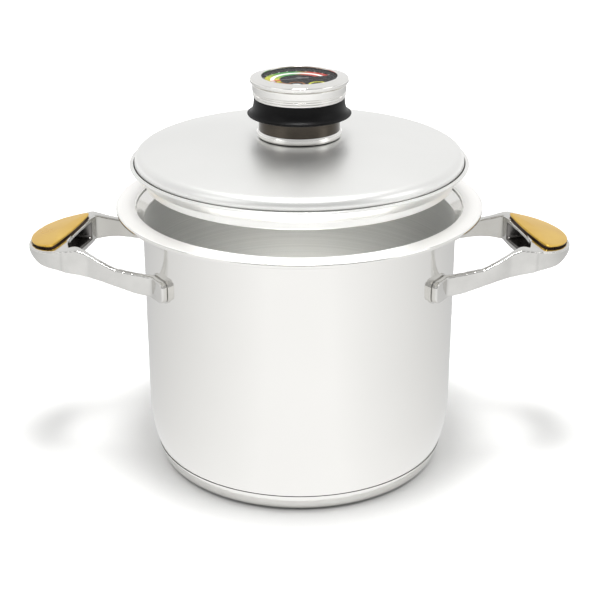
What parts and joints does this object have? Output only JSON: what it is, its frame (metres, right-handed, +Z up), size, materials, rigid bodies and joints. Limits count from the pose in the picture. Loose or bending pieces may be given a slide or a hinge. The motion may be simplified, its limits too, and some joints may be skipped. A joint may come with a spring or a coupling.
{
  "type": "deep cooking pot with thermometer lid",
  "caption": "Deep stainless cooking pot with stirrup handles, gold-plated grip inserts and a lift-off lid with a temperature-gauge knob.",
  "frame": {"origin": "centre of the base's underside, where the pot stands on the hob", "axes": "+Z up the pot's axis, +X through the right-hand handle as the gauge is read, -Y towards the reader of the gauge"},
  "size_m": [0.3506, 0.235, 0.2578],
  "materials": {
    "polished_steel": "mirror polished stainless steel",
    "cast_steel": "polished cast stainless steel",
    "core_aluminium": "bare",
    "gold_plate": "gold plated, satin",
    "dark_liner": "ribbed",
    "brass": "turned",
    "spring_metal": "rolled strip",
    "black_phenolic": "moulded, satin",
    "silicone": "moulded",
    "dial_black": "printed card",
    "pointer_red": "painted",
    "gauge_glass": "flat pane"
  },
  "bodies": {
    "pot": {"pot_shell": "polished_steel", "base_core": "core_aluminium", "base_cap": "polished_steel", "left_handle_frame": "cast_steel", "left_handle_insert": "gold_plate", "left_insert_liner": "dark_liner", "left_handle_bottom_cover": "cast_steel", "left_weld_pads": "cast_steel", "right_handle_frame": "cast_steel", "right_handle_insert": "gold_plate", "right_insert_liner": "dark_liner", "right_handle_bottom_cover": "cast_steel", "right_weld_pads": "cast_steel"},
    "lid": {"lid_dome": "polished_steel", "lid_ring": "polished_steel", "lid_stud": "polished_steel", "stud_seal": "silicone"},
    "knob": {"knob_foot_ring": "polished_steel", "knob_neck": "polished_steel", "knob_bush": "brass", "finger_guard": "black_phenolic", "gauge_case": "polished_steel", "gauge_bezel": "polished_steel", "dial_plate": "dial_black", "dial_glass": "gauge_glass", "glass_gasket": "silicone", "bimetal_coil": "spring_metal", "coil_post": "brass"},
    "pointer": {"pointer": "pointer_red", "pointer_spindle": "brass"}
  },
  "joints": [
    {"name": "lid_lift", "type": "slide", "parent": "pot", "child": "lid", "axis": [0, 0, 1], "range_m": [-0.0259, 0.15]},
    {"name": "knob_turn", "type": "hinge", "parent": "lid", "child": "knob", "pos_m": [0, 0, 0.225], "axis": [0, 0, 1], "continuous": true},
    {"name": "pointer_swing", "type": "hinge", "parent": "knob", "child": "pointer", "pos_m": [0, 0, 0.25], "axis": [0, 0, 1], "range_deg": [-175, 5]}
  ]
}
